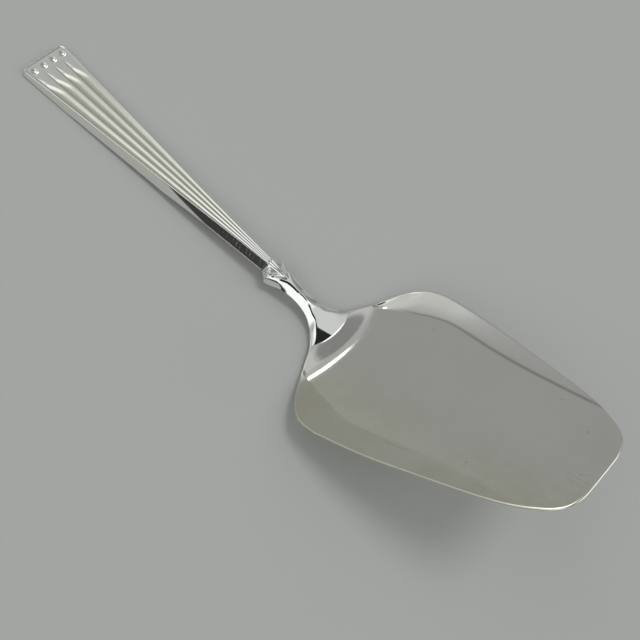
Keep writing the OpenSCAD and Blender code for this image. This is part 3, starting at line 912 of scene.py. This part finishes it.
def silver(name, clean, tarnish, amount, roughness, scratches, hollow=0.0, painted_reflection=0.0):
    """Polished silver plate, with a painted dark reflection line where asked. Amount, hollow and the painted
    dark reflection's darkness are numbers or the names of mesh attributes.
    """
    material = bpy.data.materials.new(name)
    material.use_nodes = True
    tree = material.node_tree
    shader = tree.nodes["Principled BSDF"]
    shader.inputs["Metallic"].default_value = 1.0
    wear_and_painted_reflection = tree.nodes.new("ShaderNodeGroup")
    wear_and_painted_reflection.node_tree = WEAR_AND_PAINTED_REFLECTION
    wear_and_painted_reflection.inputs["Clean"].default_value = (*clean, 1)
    wear_and_painted_reflection.inputs["Tarnish"].default_value = (*tarnish, 1)
    wear_and_painted_reflection.inputs["Roughness"].default_value = roughness
    wear_and_painted_reflection.inputs["Scratches"].default_value = scratches
    for label, value in (("Tarnish Amount", amount), ("Hollow", hollow), ("Painted Reflection", painted_reflection)):
        if isinstance(value, str):
            layer = put(tree, "ShaderNodeAttribute", {"attribute_name": value})
            tree.links.new(layer.outputs["Fac"], wear_and_painted_reflection.inputs[label])
        else:
            wear_and_painted_reflection.inputs[label].default_value = value
    if painted_reflection:
        tree.links.new(blade_marks(tree), wear_and_painted_reflection.inputs["Marks"])
    tree.links.new(wear_and_painted_reflection.outputs["Color"], shader.inputs["Base Color"])
    tree.links.new(wear_and_painted_reflection.outputs["Roughness"], shader.inputs["Roughness"])
    height = wear_and_painted_reflection.outputs["Height"]
    bump = put(tree, "ShaderNodeBump", Height=height, Strength=BUMP_STRENGTH, Distance=BUMP_DEPTH)
    tree.links.new(bump.outputs["Normal"], shader.inputs["Normal"])
    return material


def blade_tarnish(s, y):
    """Share of tarnish on the blade: heaviest on the near side, by the rear corners and at the tip.

    It is least on the shoulder. Here s is the distance from the blade's rear edge.
    """
    near = NEAR_TARNISH * (1 - rise(y, *NEAR_SPAN))
    corners = CORNER_TARNISH * (1 - rise(s, *CORNER_SPAN)) * rise(np.abs(y), *CORNER_SIDE_SPAN)
    amount = np.clip(BLADE_TARNISH + near + corners + TIP_TARNISH * rise(s, *TIP_SPAN), 0, 1)
    return amount * mix(SHOULDER_TARNISH_SHARE, 1, rise(s, *SHOULDER_SPAN))


def blade_painted_reflection(s, y):
    """Darkness of the painted dark reflection along the far side's bend: a bell curve across it, thinned out
    at both ends.
    """
    part = s / BLADE_LENGTH
    bend = BLADE_HALF * curve(SIDE_FOLD_SHARES, part) + PAINTED_REFLECTION_OUTSIDE
    ends = rise(part, *PAINTED_REFLECTION_REAR_SPAN) * (1 - rise(part, *PAINTED_REFLECTION_TIP_SPAN))
    return PAINTED_REFLECTION_DARKNESS * ends * np.exp(-((y - bend) / PAINTED_REFLECTION_HALF_WIDTH) ** 2)


def plain(name, colour, roughness):
    """A matt material of one colour, for the surroundings only."""
    material = bpy.data.materials.new(name)
    material.use_nodes = True
    shader = material.node_tree.nodes["Principled BSDF"]
    shader.inputs["Base Color"].default_value = (*colour, 1)
    shader.inputs["Roughness"].default_value = roughness
    return material


# Surroundings

# Brightness of the sky at the horizon and overhead, which holds from this upward part of a direction
SKY_LOW = 0.2
SKY_HIGH = 0.55
SKY_HIGH_FROM = 0.9
# Soft patches of light and dark that the polished silver mirrors: azimuth from +X towards +Y and
# elevation in degrees, then the patch's inner and outer radius in degrees and its brightness
SKY_PATCHES = [
    (-81, 51, 28, 48, 1.05),
    (-92, 6, 16, 28, 0.04),
    (178, 30, 8, 30, 0.6),
    (188, 64, 4, 12, 0.75),
    (141, 52, 6, 15, 0.42),
    (60, 62, 12, 25, 0.62),
    (28, 34, 20, 29, 1.5),
    (118, 62, 10.5, 13.5, 0.24),
    (128, 12, 32.0, 36.0, 0.42),
    (128, 12, 26, 33, 0.315),
    (115, 8, 4, 26, 0.28),
    (-39, 82.6, 18, 19.5, 0.02),
    (156.5, 38, 3.5, 6.7, 2.6),
]
SKY_TINT = (0.965, 1.0, 0.985)
KEY_STRENGTH = 0.85
KEY_SPREAD = 20.0
KEY_DIRECTION = (0.16, 0.27, 0.95)
FLOOR_REACH = 1500.0
FLOOR_COLOUR = (0.41, 0.41, 0.4)
FLOOR_ROUGHNESS = 0.9


def sky_direction(azimuth, elevation):
    """The unit vector towards a place in the sky."""
    a, e = math.radians(azimuth), math.radians(elevation)
    return math.cos(a) * math.cos(e), math.sin(a) * math.cos(e), math.sin(e)


def make_world():
    """A soft studio sky: a gradient from the ground up, with the patches laid over it in turn."""
    world = bpy.data.worlds.new("studio")
    bpy.context.scene.world = world
    world.use_nodes = True
    tree = world.node_tree
    place = put(tree, "ShaderNodeTexCoord").outputs["Generated"]
    up = put(tree, "ShaderNodeSeparateXYZ", Vector=place).outputs["Z"]
    sky = ramp(tree, up, 0, SKY_HIGH_FROM, SKY_LOW, SKY_HIGH)
    for azimuth, elevation, inner, outer, brightness in SKY_PATCHES:
        toward = vectors(tree, "DOT_PRODUCT", place, sky_direction(azimuth, elevation))
        inside = ramp(tree, toward, math.cos(math.radians(outer)), math.cos(math.radians(inner)))
        sky = put(tree, "ShaderNodeMix", Factor=inside, A=sky, B=brightness).outputs["Result"]
    tint = put(tree, "ShaderNodeCombineColor")
    for channel, share in zip(("Red", "Green", "Blue"), SKY_TINT):
        tree.links.new(maths(tree, "MULTIPLY", sky, share), tint.inputs[channel])
    tree.links.new(tint.outputs["Color"], tree.nodes["Background"].inputs["Color"])
    tree.nodes["Background"].inputs["Strength"].default_value = 1.0


def make_key():
    """One soft key light from the far right, which throws the long soft shadow to the near left."""
    data = bpy.data.lights.new("key", "SUN")
    data.energy = KEY_STRENGTH
    data.angle = math.radians(KEY_SPREAD)
    key = bpy.data.objects.new("key", data)
    bpy.context.scene.collection.objects.link(key)
    x, y, z = KEY_DIRECTION
    key.rotation_euler = (math.acos(z), 0, math.atan2(x, -y))
    key.visible_glossy = False


def make_floor():
    """The plain pale table that the server rests on."""
    mesh = bpy.data.meshes.new("floor")
    r = FLOOR_REACH * MM
    mesh.from_pydata([(-r, -r, 0), (r, -r, 0), (r, r, 0), (-r, r, 0)], [], [(0, 1, 2, 3)])
    floor = bpy.data.objects.new("floor", mesh)
    bpy.context.scene.collection.objects.link(floor)
    mesh.materials.append(plain("floor", FLOOR_COLOUR, FLOOR_ROUGHNESS))


def make_camera():
    """The camera, where the photograph was taken from."""
    data = bpy.data.cameras.new("camera")
    data.lens = CAMERA_LENS
    data.sensor_width = SENSOR_WIDTH
    data.clip_start = CAMERA_NEAREST * MM
    camera = bpy.data.objects.new("camera", data)
    bpy.context.scene.collection.objects.link(camera)
    camera.location = [v * MM for v in CAMERA_PLACE]
    camera.rotation_euler = [math.radians(a) for a in CAMERA_TURN]
    bpy.context.scene.camera = camera


# The scene and its pieces

bpy.context.scene.view_settings.view_transform = "Standard"
make_camera()
make_world()
make_key()
make_floor()

WEAR_AND_PAINTED_REFLECTION = make_wear_and_painted_reflection()
MARK = make_mark()
handle_silver = silver(
    "silver_handle", clean=(0.95, 0.945, 0.92), tarnish=(0.74, 0.72, 0.58), amount=0.12,
    roughness=0.1, scratches=0.5, hollow="hollow")
stem_silver = silver(
    "silver_stem", clean=(0.95, 0.955, 0.94), tarnish=(0.8, 0.78, 0.66), amount=0.1,
    roughness=0.05, scratches=0.3)
blade_silver = silver(
    "silver_blade", clean=(0.92, 0.905, 0.885), tarnish=(0.76, 0.74, 0.605), amount="tarnish",
    roughness=0.09, scratches=1.0, painted_reflection="painted_reflection")
solder_metal = silver(
    "silver_solder", clean=(0.9, 0.89, 0.87), tarnish=(0.74, 0.72, 0.6), amount=0.3,
    roughness=0.16, scratches=0.3)

rings, hollow = handle_rings()
handle = tube("fluted_handle", rings, handle_silver)
store(handle, "hollow", np.concatenate([hollow.ravel(), [0, 0]]))
weld(handle)
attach(handle, "root")
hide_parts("handle")

stem = tube("stem_with_tongue", stem_rings(), stem_silver)
weld(stem)
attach(stem, "root")
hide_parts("stem")

blade = blade_object(blade_silver)
blade_points = np.empty(len(blade.data.vertices) * 3)
blade.data.vertices.foreach_get("co", blade_points)
blade_points = blade_points.reshape(-1, 3) / MM - (BUTT_X + BLADE_START, 0, 0)
store(blade, "tarnish", blade_tarnish(blade_points[:, 0], blade_points[:, 1]))
# A painted dark reflection along the far side's bend, kept for the blade's material
store(blade, "painted_reflection", blade_painted_reflection(blade_points[:, 0], blade_points[:, 1]))
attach(blade, "root")
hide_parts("blade")

for seam in ("tongue_solder", "spigot_solder"):
    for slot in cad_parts[seam].material_slots:
        slot.material = solder_metal
